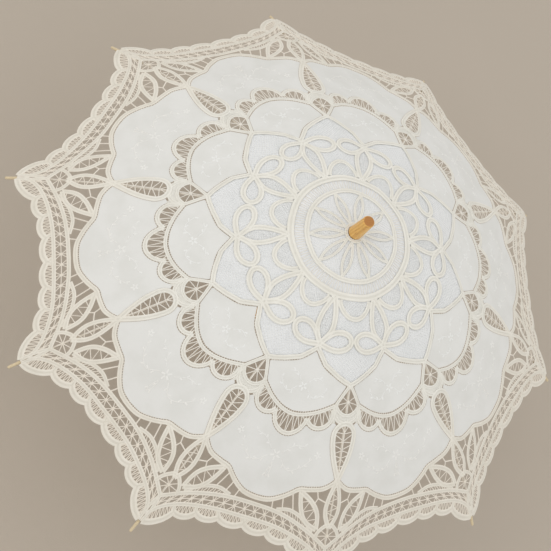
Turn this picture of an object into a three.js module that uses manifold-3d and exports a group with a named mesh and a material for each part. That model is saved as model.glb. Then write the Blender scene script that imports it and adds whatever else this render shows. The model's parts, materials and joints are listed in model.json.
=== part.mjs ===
// Lace parasol, open: a ten-rib folding frame under a tape-lace canopy, on a straight wooden shaft.
// Millimetres, +Z up along the shaft, origin at the centre of the handle's flat end.
import * as THREE from 'three';
import { mergeVertices } from 'three/addons/utils/BufferGeometryUtils.js';
import Module from 'manifold-3d';

const wasm = await Module();
wasm.setup();

// Canopy
const RIBS = 10;
const STEP_ANGLE = (2 * Math.PI) / RIBS;
const HALF_ANGLE = STEP_ANGLE / 2;
const APEX_Z = 535;
const PROFILE_SLOPE = 0.1126; // slope of a rib line at the apex
const PROFILE_CURVE = 0.9708e-3; // growth of that slope, per mm
const CORNER_R = 398;
const EDGE_MID = 355; // shaft axis to the rim, halfway between two ribs
const CLOTH_T = 1.6;
const CLOTH_INNER_R = 15.5;
const CLOTH_GAP_ANGLE = 0.0016;
const CLOTH_ROWS = 10;
const CLOTH_COLUMNS = 4;

// Frame
const ROD_R = 1.3;
const ROD_DROP = 4.2; // rib rod axis below the canopy surface
const ROD_START_R = 17;
const ROD_END_R = 401;
const ROD_STEPS = 10;
const PLATE_T = 1.6;
const HINGE_R = 9.5;
const HINGE_Z = 524.5;
const EYE_R = 1.9;
const EYE_BORE = 0.9;
const EAR_R = 150; // where the stretcher joins the rib
const EAR_DROP = 4.2;
const EAR_T = 1.0;
const EAR_EYE_R = 2.1;
const CHEEK_T = 0.8;
const CHEEK_GAP = 0.3;
const RIVET_R = 0.9;
const RIVET_BORE = 1.25;
const STRETCHER = 168; // pivot to pivot
const STRETCHER_ROD_R = 1.2;
const RUNNER_RING_R = 11.8;
const WIRE_R = 0.5;

// Wooden pieces
const SHAFT_R = 5.5;
const SHAFT_BOTTOM = 40;
const SHAFT_TOP = 549;
const FIT_GAP = 0.35;
const HANDLE_TOP = 84;
const FERRULE_BASE = 536.4;
const FERRULE_TOP = 577;
const FERRULE_BASE_R = 9.3;
const FERRULE_TOP_R = 7.7;
const FERRULE_EDGE_R = 2;
const CAP_R = 14.5;
const TIP_R = 2.1;
const TIP_BACK = 7;
const TIP_FRONT = 13;
const CROWN_TOP = 528.5;
const CROWN_BOTTOM = 503;
const CROWN_FLANGE_R = 13;
const CROWN_CORE_R = 7.2;
const RUNNER_ABOVE = 4.6; // runner's top face over its ring
const RUNNER_BELOW = 39;
const RUNNER_FLANGE_R = 14.8;
const RUNNER_CORE_R = 9.8;
const RUNNER_BARREL_R = 9;
const SLOT_W = 2.4;
const FLANGE_H = 9.4;

// Catches
const CATCH_T = 2;
const CATCH_OUT = 2.6;
const CATCH_LENGTH = 20;
const WINDOW_W = 3.4;
const CLOSE_ANGLE = THREE.MathUtils.degToRad(62.5); // each rib's turn from open to closed

const colours = {
  cloth: { color: 0xe0dfd9, roughness: 0.95, metalness: 0 },
  honey: { color: 0xd7a764, roughness: 0.35, metalness: 0 },
  pale: { color: 0xd8c7a6, roughness: 0.55, metalness: 0 },
  enamel: { color: 0xe8e4dc, roughness: 0.4, metalness: 0 },
  steel: { color: 0xb9b9b7, roughness: 0.3, metalness: 1 },
};
const materials = Object.fromEntries(
  Object.entries(colours).map(([name, values]) => [name, new THREE.MeshStandardMaterial(values)]),
);

const ribLineZ = (r) => APEX_Z - PROFILE_SLOPE * r - PROFILE_CURVE * r * r;
const clothZ = (r, angle) => ribLineZ((r * Math.cos(HALF_ANGLE - Math.abs(angle))) / Math.cos(HALF_ANGLE));
const earPoint = new THREE.Vector2(EAR_R, ribLineZ(EAR_R) - ROD_DROP - EAR_DROP);
const hingePoint = new THREE.Vector2(HINGE_R, HINGE_Z);
const closedEar = earPoint.clone().rotateAround(hingePoint, -CLOSE_ANGLE);
const runnerUnder = (ear) => ear.y - Math.sqrt(STRETCHER ** 2 - (ear.x - RUNNER_RING_R) ** 2);
const runnerZ = runnerUnder(earPoint);
const runnerTravel = runnerZ - runnerUnder(closedEar);

function solidOf(geometry) {
  geometry.deleteAttribute('normal');
  geometry.deleteAttribute('uv');
  const merged = mergeVertices(geometry);
  const vertProperties = new Float32Array(merged.attributes.position.array);
  const triVerts = new Uint32Array(merged.index.array);
  return new wasm.Manifold(new wasm.Mesh({ numProp: 3, vertProperties, triVerts }));
}

function geometryOf(solid) {
  const mesh = solid.getMesh();
  const geometry = new THREE.BufferGeometry();
  geometry.setAttribute('position', new THREE.BufferAttribute(mesh.vertProperties, 3));
  geometry.setIndex(new THREE.BufferAttribute(mesh.triVerts, 1));
  return geometry;
}

function named(name, geometry, material) {
  const mesh = new THREE.Mesh(geometry, material);
  mesh.name = name;
  return mesh;
}

// A profile of [radius, z] pairs turned about Z; it starts and ends on the axis or closes on itself.
function turned(pairs, segments) {
  const geometry = new THREE.LatheGeometry(pairs.map(([r, z]) => new THREE.Vector2(r, z)), segments);
  return geometry.rotateX(Math.PI / 2);
}

function turnedRing(pairs, segments) {
  return turned([...pairs, pairs[0]], segments);
}

// An outline in the radial plane (x outward, y up) given a thickness either side of that plane.
function plate(shape, thickness, sideways = 0) {
  const options = { depth: thickness, bevelEnabled: false, curveSegments: 4 };
  const geometry = new THREE.ExtrudeGeometry(shape, options);
  return geometry.rotateX(Math.PI / 2).translate(0, thickness / 2 + sideways, 0);
}

function rod(points, radius, sides, steps) {
  const section = new THREE.Shape().absarc(0, 0, radius, 0, 2 * Math.PI);
  const path = points.length === 2 ? new THREE.LineCurve3(...points) : new THREE.CatmullRomCurve3(points);
  const options = { steps, extrudePath: path, curveSegments: sides / 2, bevelEnabled: false };
  return new THREE.ExtrudeGeometry(section, options);
}

// A bar with a round eye at its start and, when wanted, a bored hole in that eye.
function eyeBar(from, to, eyeRadius, endHalf, bore) {
  const along = to.clone().sub(from).normalize();
  const across = new THREE.Vector2(-along.y, along.x);
  const start = Math.atan2(across.y, across.x);
  const shape = new THREE.Shape();
  shape.absarc(from.x, from.y, eyeRadius, start, start + Math.PI);
  const low = to.clone().addScaledVector(across, -endHalf);
  const high = to.clone().addScaledVector(across, endHalf);
  shape.lineTo(low.x, low.y);
  shape.lineTo(high.x, high.y);
  shape.closePath();
  if (bore) shape.holes.push(new THREE.Path().absarc(from.x, from.y, bore, 0, 2 * Math.PI));
  return shape;
}

function ribGeometry() {
  const points = [];
  for (let i = 0; i <= ROD_STEPS; i += 1) {
    const r = ROD_START_R + ((ROD_END_R - ROD_START_R) * i) / ROD_STEPS;
    points.push(new THREE.Vector3(r, 0, ribLineZ(r) - ROD_DROP));
  }
  const rodStart = new THREE.Vector2(points[0].x + 1, points[0].z);
  const earTop = new THREE.Vector2(EAR_R, earPoint.y + EAR_DROP);
  return geometryOf(
    solidOf(rod(points, ROD_R, 8, ROD_STEPS))
      .add(solidOf(plate(eyeBar(hingePoint, rodStart, EYE_R, ROD_R * 0.9, EYE_BORE), PLATE_T)))
      .add(solidOf(plate(eyeBar(earPoint, earTop, EAR_EYE_R, 3, RIVET_BORE), EAR_T))),
  );
}

function stretcherGeometry() {
  const inner = new THREE.Vector2(RUNNER_RING_R, runnerZ);
  const along = earPoint.clone().sub(inner).normalize();
  const at = (distance) => inner.clone().addScaledVector(along, distance);
  const endStart = at(WIRE_R + FIT_GAP + 1.4);
  const neck = at(14);
  const crotch = at(STRETCHER - 5);
  const rodEnd = at(STRETCHER - 6.6);
  const cheekEnd = at(STRETCHER - 9);
  const yokeEnd = at(STRETCHER - 9.8);
  const point3 = (p) => new THREE.Vector3(p.x, 0, p.y);
  const cheekOffset = EAR_T / 2 + CHEEK_GAP + CHEEK_T / 2;
  const cheek = eyeBar(earPoint, cheekEnd, EAR_EYE_R, 1.3, RIVET_BORE);
  const yokeBlock = eyeBar(crotch, yokeEnd, 1.7, 1.7, 0);
  return geometryOf(
    solidOf(rod([point3(neck), point3(rodEnd)], STRETCHER_ROD_R, 6, 1))
      .add(solidOf(plate(eyeBar(endStart, at(16), 1.4, 1.1, 0), PLATE_T)))
      .add(solidOf(plate(cheek, CHEEK_T, cheekOffset)))
      .add(solidOf(plate(cheek, CHEEK_T, -cheekOffset)))
      .add(solidOf(plate(yokeBlock, 2 * cheekOffset + 0.3))),
  );
}

function rivetGeometry() {
  const shank = EAR_T / 2 + CHEEK_GAP + CHEEK_T + FIT_GAP;
  const head = shank + 0.6;
  const profile = [[0, -head], [1.7, -shank - 0.25], [1.7, -shank], [RIVET_R, -shank]];
  const mirrored = profile.map(([r, z]) => [r, -z]).reverse();
  const geometry = turned([...profile, ...mirrored], 8).rotateX(Math.PI / 2);
  return geometry.translate(earPoint.x, 0, earPoint.y);
}

function tipGeometry() {
  const bore = ROD_R + FIT_GAP;
  const profile = [
    [0, TIP_FRONT], [1.3, TIP_FRONT - 0.3], [TIP_R - 0.2, TIP_FRONT - 1.4], [TIP_R, 0], [TIP_R, -TIP_BACK],
    [bore, -TIP_BACK], [bore, 1.5], [0, 1.5],
  ];
  const slope = Math.atan(PROFILE_SLOPE + 2 * PROFILE_CURVE * ROD_END_R);
  const geometry = turned(profile.reverse(), 8).rotateY(Math.PI / 2 + slope);
  return geometry.translate(ROD_END_R, 0, ribLineZ(ROD_END_R) - ROD_DROP);
}

// Distance from the shaft axis to the rim, at an angle measured from the line halfway between two ribs.
function rimRadius(fromMid) {
  const cornerX = CORNER_R * Math.sin(HALF_ANGLE);
  const rise = CORNER_R * Math.cos(HALF_ANGLE) - EDGE_MID;
  const bend = (rise * Math.tan(fromMid) ** 2) / cornerX ** 2;
  const across = bend < 1e-9 ? EDGE_MID : (1 - Math.sqrt(1 - 4 * bend * EDGE_MID)) / (2 * bend);
  return across / Math.cos(fromMid);
}

// One tenth of the canopy, ridged over its rib and flat to the halfway lines on either side.
function clothGeometry() {
  const limit = HALF_ANGLE - CLOTH_GAP_ANGLE;
  const positions = [];
  const index = [];
  const columns = CLOTH_COLUMNS + 1;
  const layer = (CLOTH_ROWS + 1) * columns;
  for (const lift of [CLOTH_T / 2, -CLOTH_T / 2]) {
    for (let i = 0; i <= CLOTH_ROWS; i += 1) {
      for (let j = 0; j < columns; j += 1) {
        const angle = limit * ((2 * j) / CLOTH_COLUMNS - 1);
        const rim = rimRadius(HALF_ANGLE - Math.abs(angle));
        const r = CLOTH_INNER_R + ((rim - CLOTH_INNER_R) * i) / CLOTH_ROWS;
        positions.push(r * Math.cos(angle), r * Math.sin(angle), clothZ(r, angle) + lift);
      }
    }
  }
  const quad = (a, b, c, d) => index.push(a, b, c, a, c, d);
  for (let i = 0; i < CLOTH_ROWS; i += 1) {
    for (let j = 0; j < CLOTH_COLUMNS; j += 1) {
      const k = i * columns + j;
      quad(k, k + columns, k + columns + 1, k + 1);
      quad(layer + k, layer + k + 1, layer + k + columns + 1, layer + k + columns);
    }
  }
  const wall = (a, b) => quad(a, b, layer + b, layer + a);
  for (let j = 0; j < CLOTH_COLUMNS; j += 1) {
    wall(j, j + 1);
    wall(CLOTH_ROWS * columns + j + 1, CLOTH_ROWS * columns + j);
  }
  for (let i = 0; i < CLOTH_ROWS; i += 1) {
    wall((i + 1) * columns, i * columns);
    wall(i * columns + CLOTH_COLUMNS, (i + 1) * columns + CLOTH_COLUMNS);
  }
  const geometry = new THREE.BufferGeometry();
  geometry.setAttribute('position', new THREE.Float32BufferAttribute(positions, 3));
  geometry.setIndex(index);
  return geometry;
}

function radialSlots(count, fromR, toR, lowZ, highZ) {
  const length = toR - fromR;
  return Array.from({ length: count }, (_, i) => {
    const box = new THREE.BoxGeometry(length, SLOT_W, highZ - lowZ);
    box.translate(fromR + length / 2, 0, (lowZ + highZ) / 2).rotateZ(i * STEP_ANGLE);
    return solidOf(box);
  });
}

function slotted(body, cuts) {
  return cuts.reduce((rest, cut) => rest.subtract(cut), body);
}

function crownGeometry() {
  const bore = SHAFT_R + FIT_GAP;
  const flangeLow = CROWN_TOP - FLANGE_H;
  const profile = [
    [bore, CROWN_BOTTOM], [7.4, CROWN_BOTTOM], [8.4, CROWN_BOTTOM + 2], [8.4, flangeLow - 4],
    [CROWN_FLANGE_R - 1, flangeLow], [CROWN_FLANGE_R, flangeLow + 1], [CROWN_FLANGE_R, HINGE_Z - 1],
    [HINGE_R - 1.2, HINGE_Z - 1], [HINGE_R - 1.2, HINGE_Z + 1], [CROWN_FLANGE_R - 1, HINGE_Z + 1],
    [CROWN_FLANGE_R - 2, CROWN_TOP], [bore, CROWN_TOP],
  ];
  const slots = radialSlots(RIBS, CROWN_CORE_R, CROWN_FLANGE_R + 3, flangeLow - 5, CROWN_TOP + 2);
  return geometryOf(slotted(solidOf(turnedRing(profile, 30)), slots));
}

function runnerGeometry() {
  const bore = SHAFT_R + FIT_GAP + 0.1;
  const top = runnerZ + RUNNER_ABOVE;
  const flangeLow = top - FLANGE_H;
  const bottom = runnerZ - RUNNER_BELOW;
  const grooveR = RUNNER_RING_R - 1.1;
  const profile = [
    [bore, bottom], [RUNNER_BARREL_R, bottom], [RUNNER_BARREL_R + 1, bottom + 1.5],
    [RUNNER_BARREL_R + 1, bottom + 4], [RUNNER_BARREL_R, bottom + 6], [RUNNER_BARREL_R - 0.4, flangeLow - 3],
    [RUNNER_FLANGE_R - 1, flangeLow], [RUNNER_FLANGE_R, flangeLow + 1], [RUNNER_FLANGE_R, runnerZ - 1],
    [grooveR, runnerZ - 1], [grooveR, runnerZ + 1], [RUNNER_FLANGE_R - 0.4, runnerZ + 1],
    [RUNNER_FLANGE_R - 1.4, top], [bore, top],
  ];
  const slots = radialSlots(RIBS, RUNNER_CORE_R, RUNNER_FLANGE_R + 3, flangeLow - 5, top + 2);
  const catchTop = lowerCatchTop() + runnerTravel;
  const window = new THREE.BoxGeometry(WINDOW_W, 8, CATCH_LENGTH / 2 + 2);
  window.translate(0, bore + 3, catchTop - CATCH_LENGTH / 4 - 0.2);
  return geometryOf(slotted(solidOf(turnedRing(profile, 30)), [...slots, solidOf(window)]));
}

function wireGeometry(radius, z) {
  return new THREE.TorusGeometry(radius, WIRE_R, 5, 30).translate(0, 0, z);
}

const topCatchTop = () => runnerZ - RUNNER_BELOW - 0.5;
const lowerCatchTop = () => runnerZ - RUNNER_BELOW - runnerTravel + 22;

// A spring leaf let into the shaft: its hooked upper end stands proud, its tail lies in the mortise.
function catchGeometry(top) {
  const inside = SHAFT_R - 1.6;
  const shape = new THREE.Shape();
  shape.moveTo(inside, top);
  shape.lineTo(SHAFT_R + CATCH_OUT, top);
  shape.lineTo(SHAFT_R + CATCH_OUT, top - 1.5);
  shape.lineTo(SHAFT_R - 0.6, top - CATCH_LENGTH / 2);
  shape.lineTo(SHAFT_R - 0.6, top - CATCH_LENGTH);
  shape.lineTo(inside, top - CATCH_LENGTH);
  shape.closePath();
  return plate(shape, CATCH_T).rotateZ(Math.PI / 2);
}

function mortise(top) {
  const depth = 2 * CATCH_OUT + 3;
  const box = new THREE.BoxGeometry(CATCH_T + 2 * FIT_GAP, depth, CATCH_LENGTH + 1.2);
  return solidOf(box.translate(0, SHAFT_R - depth / 2 + 1, top - CATCH_LENGTH / 2));
}

function shaftGeometry() {
  const profile = [[0, SHAFT_BOTTOM], [SHAFT_R, SHAFT_BOTTOM], [SHAFT_R, SHAFT_TOP], [0, SHAFT_TOP]];
  const cuts = [mortise(topCatchTop()), mortise(lowerCatchTop())];
  return geometryOf(slotted(solidOf(turned(profile, 24)), cuts));
}

function handleGeometry() {
  const bore = SHAFT_R + FIT_GAP;
  return turned([
    [0, 0], [7.6, 0], [9.6, 1.2], [10.3, 4.2], [9.8, 7.6], [8.3, 10.6], [8.3, 12], [9.4, 18.5], [10.2, 34],
    [9.9, 51], [8.9, 67], [8, 74.5], [8.8, 76], [9.3, 78.6], [8.8, 81.4], [7.8, HANDLE_TOP],
    [bore, HANDLE_TOP], [bore, SHAFT_BOTTOM - FIT_GAP], [0, SHAFT_BOTTOM - FIT_GAP],
  ], 24);
}

function ferruleGeometry() {
  const bore = SHAFT_R + FIT_GAP;
  const edgeZ = FERRULE_TOP - FERRULE_EDGE_R;
  const edge = [0.9, 0.6, 0.3, 0].map((turn) => {
    const angle = (turn * Math.PI) / 2;
    return [FERRULE_TOP_R - FERRULE_EDGE_R * (1 - Math.cos(angle)), edgeZ + FERRULE_EDGE_R * Math.sin(angle)];
  });
  return turned([
    [0, FERRULE_TOP], [FERRULE_TOP_R - FERRULE_EDGE_R, FERRULE_TOP], ...edge,
    [FERRULE_BASE_R, FERRULE_BASE], [bore, FERRULE_BASE], [bore, SHAFT_TOP + FIT_GAP], [0, SHAFT_TOP + FIT_GAP],
  ].reverse(), 24);
}

function capGeometry() {
  const inner = SHAFT_R + FIT_GAP;
  const low = ribLineZ(CAP_R) + 1.4;
  return turnedRing([
    [inner, FERRULE_BASE - 1.5], [CAP_R, low], [CAP_R + 0.6, low + 0.5], [CAP_R, low + 1],
    [FERRULE_BASE_R, FERRULE_BASE - 0.4], [inner, FERRULE_BASE - 0.4],
  ], 20);
}

const parasol = new THREE.Group();
parasol.add(
  named('handle', handleGeometry(), materials.honey),
  named('shaft', shaftGeometry(), materials.honey),
  named('ferrule', ferruleGeometry(), materials.honey),
  named('canopy_cap', capGeometry(), materials.cloth),
  named('crown', crownGeometry(), materials.pale),
  named('crown_wire', wireGeometry(HINGE_R, HINGE_Z), materials.steel),
  named('runner', runnerGeometry(), materials.pale),
  named('runner_wire', wireGeometry(RUNNER_RING_R, runnerZ), materials.steel),
  named('top_catch', catchGeometry(topCatchTop()), materials.steel),
  named('lower_catch', catchGeometry(lowerCatchTop()), materials.steel),
);

const shared = {
  rib: [ribGeometry(), materials.enamel],
  rib_tip: [tipGeometry(), materials.pale],
  stretcher: [stretcherGeometry(), materials.enamel],
  rivet: [rivetGeometry(), materials.steel],
  canopy: [clothGeometry(), materials.cloth],
};
for (let i = 0; i < RIBS; i += 1) {
  const bay = new THREE.Group();
  bay.rotation.z = i * STEP_ANGLE;
  for (const [kind, [geometry, material]] of Object.entries(shared)) {
    bay.add(named(`${kind}_${String(i + 1).padStart(2, '0')}`, geometry, material));
  }
  parasol.add(bay);
}

export default parasol;
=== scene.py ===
"""Lace parasol: the looks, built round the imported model.

The lace is drawn flat, in millimetres, on the plan of one rib's share of the canopy, then trimmed,
draped over the dome and repeated for each rib. Everything that reaches the scene is in metres.
"""

import json
import logging
import math
from collections.abc import Iterable, Sequence
from dataclasses import dataclass, field
from enum import Enum

import bmesh
import bpy
import numpy as np
from mathutils import Matrix, Vector
from mathutils.geometry import delaunay_2d_cdt

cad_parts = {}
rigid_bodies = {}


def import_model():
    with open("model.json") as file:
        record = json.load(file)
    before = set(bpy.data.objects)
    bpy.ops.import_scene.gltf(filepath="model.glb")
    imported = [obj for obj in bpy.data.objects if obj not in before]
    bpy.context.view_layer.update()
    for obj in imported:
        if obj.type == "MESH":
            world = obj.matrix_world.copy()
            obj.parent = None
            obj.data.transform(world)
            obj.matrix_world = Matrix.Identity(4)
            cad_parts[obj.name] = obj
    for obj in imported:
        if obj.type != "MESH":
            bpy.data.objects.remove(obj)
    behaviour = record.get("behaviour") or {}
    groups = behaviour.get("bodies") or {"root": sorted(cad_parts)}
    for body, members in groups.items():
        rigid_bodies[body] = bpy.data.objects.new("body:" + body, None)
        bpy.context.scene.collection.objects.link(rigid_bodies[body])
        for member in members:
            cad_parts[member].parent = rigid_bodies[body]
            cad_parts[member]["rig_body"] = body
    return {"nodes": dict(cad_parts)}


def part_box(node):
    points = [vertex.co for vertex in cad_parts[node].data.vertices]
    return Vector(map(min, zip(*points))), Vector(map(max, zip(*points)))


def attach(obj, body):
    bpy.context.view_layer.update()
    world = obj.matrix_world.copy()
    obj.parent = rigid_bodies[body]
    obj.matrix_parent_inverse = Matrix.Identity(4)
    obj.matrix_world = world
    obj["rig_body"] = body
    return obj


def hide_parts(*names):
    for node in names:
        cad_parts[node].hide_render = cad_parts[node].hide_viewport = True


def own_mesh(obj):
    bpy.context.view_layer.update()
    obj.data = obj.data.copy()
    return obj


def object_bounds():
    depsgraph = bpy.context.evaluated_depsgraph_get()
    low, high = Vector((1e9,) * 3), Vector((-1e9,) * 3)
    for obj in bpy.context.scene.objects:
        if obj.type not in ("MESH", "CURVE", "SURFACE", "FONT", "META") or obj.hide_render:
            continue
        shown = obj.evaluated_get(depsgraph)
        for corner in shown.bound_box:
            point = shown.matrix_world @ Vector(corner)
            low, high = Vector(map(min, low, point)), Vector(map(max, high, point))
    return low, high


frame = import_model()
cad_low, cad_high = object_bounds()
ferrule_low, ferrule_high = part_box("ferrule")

MM = 0.001
RIBS = 10
TURN = 2 * math.pi / RIBS
HALF = TURN / 2
SIDES = (-1, 1)
FERRULE_BASE, FERRULE_TOP = ferrule_low[2] / MM, ferrule_high[2] / MM
APEX = FERRULE_BASE - 1.4  # the canopy's surface, under the ferrule
WAVES = 9  # how many waves are added up in each set
SWAY_SEEDS, PUCKER_SEED = (3, 4), 7
MERGED = 1e-6  # corners closer than this, in metres, are one

log = logging.getLogger("parasol")


# Flat drawing


def along_of(line: np.ndarray) -> np.ndarray:
    """Returns the distance of each point from the line's start."""
    steps = np.linalg.norm(np.diff(line, axis=0), axis=1)
    return np.concatenate([[0.0], np.cumsum(steps)])


def spaced(line: np.ndarray, step: float = 0.0, count: int = 0) -> np.ndarray:
    """Spreads points evenly along a line.

    Args:
        line: the points of the line.
        step: the distance wanted between points.
        count: the number of points, where it is fixed.

    Returns:
        The new points, both ends included.
    """
    along = along_of(line)
    count = count or max(3, math.ceil(along[-1] / step) + 1)
    at = np.linspace(0, along[-1], count)
    return np.stack([np.interp(at, along, line[:, k]) for k in range(2)], axis=1)


def curve(points: Sequence, step: float = 2.5) -> np.ndarray:
    """Draws a smooth line through points.

    Args:
        points: the points that it goes through.
        step: the distance between the points of the result.

    Returns:
        The points of the line.
    """
    p = np.asarray(points, float)
    p = np.vstack([2 * p[0] - p[1], p, 2 * p[-1] - p[-2]])
    t = np.linspace(0, 1, 10, endpoint=False)[:, None]
    parts = [
        0.5 * (2 * b + (c - a) * t + (2 * a - 5 * b + 4 * c - d) * t**2 + (3 * b - a - 3 * c + d) * t**3)
        for a, b, c, d in zip(p, p[1:], p[2:], p[3:])
    ]
    return spaced(np.vstack([*parts, p[-2][None]]), step)


def flipped(line: np.ndarray) -> np.ndarray:
    """Returns the line mirrored from side to side of its own middle line."""
    return np.asarray(line, float) * np.array([1.0, -1.0])


def turned(line: np.ndarray, angle: float) -> np.ndarray:
    """Returns the points turned about the centre of the canopy."""
    c, s = math.cos(angle), math.sin(angle)
    return np.asarray(line, float) @ np.array([[c, s], [-s, c]])


def polar(radius: float | np.ndarray, angle: float | np.ndarray) -> np.ndarray:
    """Returns points at a radius and an angle from the rib."""
    return np.stack(np.broadcast_arrays(radius * np.cos(angle), radius * np.sin(angle)), axis=-1)


def leaf(start: Sequence, end: Sequence, half: float, belly: float = 0.5, loop: bool = False) -> list:
    """Draws the two sides of a leaf, or one loop with a round end.

    Args:
        start: its pointed end.
        end: its other end.
        half: half its width at the belly.
        belly: how far along the leaf it is widest, from 0 to 1.
        loop: whether the far end is round.

    Returns:
        Two lines from start to end, or one line out and back for a loop.
    """
    start, end = np.asarray(start, float), np.asarray(end, float)
    axis = end - start
    across = np.array([-axis[1], axis[0]]) / np.linalg.norm(axis)
    t = (1 - np.cos(np.linspace(0, math.pi, 28))) / 2
    rise = np.sin(math.pi / 2 * np.minimum(t / belly, 1))
    past = np.clip((t - belly) / (1 - belly), 0, 1)
    fall = np.sqrt(1 - past**2) if loop else np.cos(math.pi / 2 * past)
    wide = half * np.where(t < belly, rise, fall)
    sides = [start + t[:, None] * axis + s * wide[:, None] * across for s in SIDES]
    if loop:
        return [spaced(np.vstack([sides[0], sides[1][::-1][1:]]), 2.2)]
    return [spaced(side, 2.4) for side in sides]


def bow(a: Sequence, b: Sequence, rise: float, step: float = 2.2) -> np.ndarray:
    """Draws half an oval from a to b.

    Args:
        a: where it starts.
        b: where it ends.
        rise: how far it stands off the straight line, to the left of the way from a to b.
        step: the distance between the points of the result.

    Returns:
        The points of the line.
    """
    a, b = np.asarray(a, float), np.asarray(b, float)
    t = np.linspace(0, math.pi, 33)[:, None]
    way = b - a
    left = np.array([-way[1], way[0]]) / np.linalg.norm(way)
    return spaced(a + way * (1 - np.cos(t)) / 2 + left * rise * np.sin(t), step)


def covers(outline: np.ndarray, points: np.ndarray) -> np.ndarray:
    """Tells which points lie inside a closed outline.

    Args:
        outline: the outline's points.
        points: the points to test.

    Returns:
        One truth value for each point.
    """
    x, y = points[:, 0][:, None], points[:, 1][:, None]
    ax, ay = outline[:, 0], outline[:, 1]
    bx, by = np.roll(ax, -1), np.roll(ay, -1)
    crosses = (ay > y) != (by > y)
    with np.errstate(divide="ignore", invalid="ignore"):
        at = ax + (y - ay) / (by - ay) * (bx - ax)
    return (np.count_nonzero(crosses & (x < at), axis=1) % 2).astype(bool)


def nearest(points: np.ndarray, others: np.ndarray) -> np.ndarray:
    """Returns how far each point is from the nearest of the others."""
    gaps = points[:, None, :] - others[None, :, :]
    return np.sqrt((gaps**2).sum(-1)).min(axis=1)


def inset(outline: np.ndarray, margin: float) -> np.ndarray:
    """Moves a closed outline inward.

    Args:
        outline: its points, anticlockwise.
        margin: how far inward, or outward where below 0.

    Returns:
        The points of the new outline.
    """
    line = spaced(np.vstack([outline, outline[:1]]), 2.0)[:-1]
    ahead = np.roll(line, -1, 0) - np.roll(line, 1, 0)
    ahead /= np.maximum(np.linalg.norm(ahead, axis=1, keepdims=True), 1e-9)
    moved = line + margin * np.stack([-ahead[:, 1], ahead[:, 0]], axis=1)
    dense = spaced(np.vstack([outline, outline[:1]]), 0.5)
    return moved[(nearest(moved, dense) > 0.9 * abs(margin)) & (covers(outline, moved) == (margin > 0))]


def area_of(outline: np.ndarray) -> float:
    """Returns the signed area of a closed outline, above 0 where it runs anticlockwise."""
    x, y = outline.T
    return float((x * np.roll(y, -1) - y * np.roll(x, -1)).sum() / 2)


# The dome and the flat patterns that are draped over it


@dataclass(frozen=True)
class Dome:
    """The open canopy's surface, with a rib line every 36 degrees.

    Attributes:
        apex: height of the surface at the shaft.
        slope: fall per millimetre at the shaft.
        bend: how fast the fall grows outward.
        ridge: how softly the cloth turns over a rib.
        dish: how far the cloth sinks between two ribs.
        dished: radius from which the cloth sinks by the whole dish.
        sway: how far hand-made lace strays from its drawing, in plan.
        swaying: shortest and longest wave of the sway.
        pucker: height of the cloth's soft unevenness.
        puckered: shortest and longest wave of the pucker.
    """

    apex: float = APEX
    slope: float = 0.1126
    bend: float = 0.9708e-3
    ridge: float = 3.0
    dish: float = 1.8
    dished: float = 200.0
    sway: float = 0.55
    swaying: tuple = (55.0, 150.0)
    pucker: float = 0.08
    puckered: tuple = (24.0, 64.0)

    def waves(self, plan: np.ndarray, seed: int, shortest: float, longest: float) -> np.ndarray:
        """Adds up soft waves that cross the plan in all directions.

        Args:
            plan: points on the plan.
            seed: picks the set of waves.
            shortest: the shortest wave's length.
            longest: the longest wave's length.

        Returns:
            One value for each point, mostly between -1 and 1.
        """
        draw = np.random.default_rng(seed)
        total = np.zeros(len(plan))
        for _ in range(WAVES):
            length = draw.uniform(shortest, longest)
            way, start = draw.uniform(0, math.pi), draw.uniform(0, 6.3)
            total += np.sin(plan @ polar(2 * math.pi / length, way) + start)
        return total / math.sqrt(WAVES)

    def place(self, plan: np.ndarray, lift: np.ndarray) -> np.ndarray:
        """Puts flat points on the dome.

        Args:
            plan: points on the plan, with the shaft at the centre.
            lift: the height of each point above the cloth's middle.

        Returns:
            The points in the row frame, in metres.
        """
        plan = plan + self.sway * np.stack([self.waves(plan, k, *self.swaying) for k in SWAY_SEEDS], axis=1)
        radius, angle = np.hypot(*plan.T), np.arctan2(plan[:, 1], plan[:, 0])
        rib = np.round(angle / TURN) * TURN
        u, v = radius * np.cos(angle - rib), radius * np.sin(angle - rib)
        soft = np.sqrt(v**2 + self.ridge**2)
        reach = u + math.tan(HALF) * soft
        fall = self.slope + 2 * self.bend * reach
        tilt = turned_each(np.stack([fall, fall * math.tan(HALF) * v / soft], axis=1), rib)
        up = np.column_stack([tilt, np.ones(len(plan))])
        up /= np.linalg.norm(up, axis=1, keepdims=True)
        swell = np.sin(math.pi / 2 * np.abs(angle - rib) / HALF) ** 2
        sink = self.dish * swell * np.clip(radius / self.dished, 0, 1)
        height = self.apex - self.slope * reach - self.bend * reach**2 - sink
        lift = lift + self.pucker * self.waves(plan, PUCKER_SEED, *self.puckered)
        return (np.column_stack([plan, height]) + up * lift[:, None]) * MM


def turned_each(vectors: np.ndarray, angles: np.ndarray) -> np.ndarray:
    """Returns each vector turned by its own angle."""
    c, s = np.cos(angles), np.sin(angles)
    x, y = vectors.T
    return np.stack([x * c - y * s, x * s + y * c], axis=1)


TAPE_SECTION = np.array(
    [
        (-0.34, -0.10), (0.34, -0.10), (0.5, 0.04), (0.44, 0.52), (0.29, 0.60),
        (0.13, 0.40), (-0.13, 0.40), (-0.29, 0.60), (-0.44, 0.52), (-0.5, 0.04),
    ]
)  # fmt: skip
THREAD_SECTION = np.array([(0.0, -1.0), (1.0, 0.0), (0.0, 1.0), (-1.0, 0.0)])
STITCH_SECTION = np.array([(0.0, -0.06), (0.5, 0.0), (0.3, 0.22), (-0.3, 0.22), (-0.5, 0.0)])
RING_BARS = 14  # threads between the two rings, in one unit
WEBS = 9  # webs between the border tapes, in half a panel
COLLAR_SECTION = np.array([(-2.2, -3.8), (2.2, 0.6), (1.9, 1.0), (-2.6, -3.5)])


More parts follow.
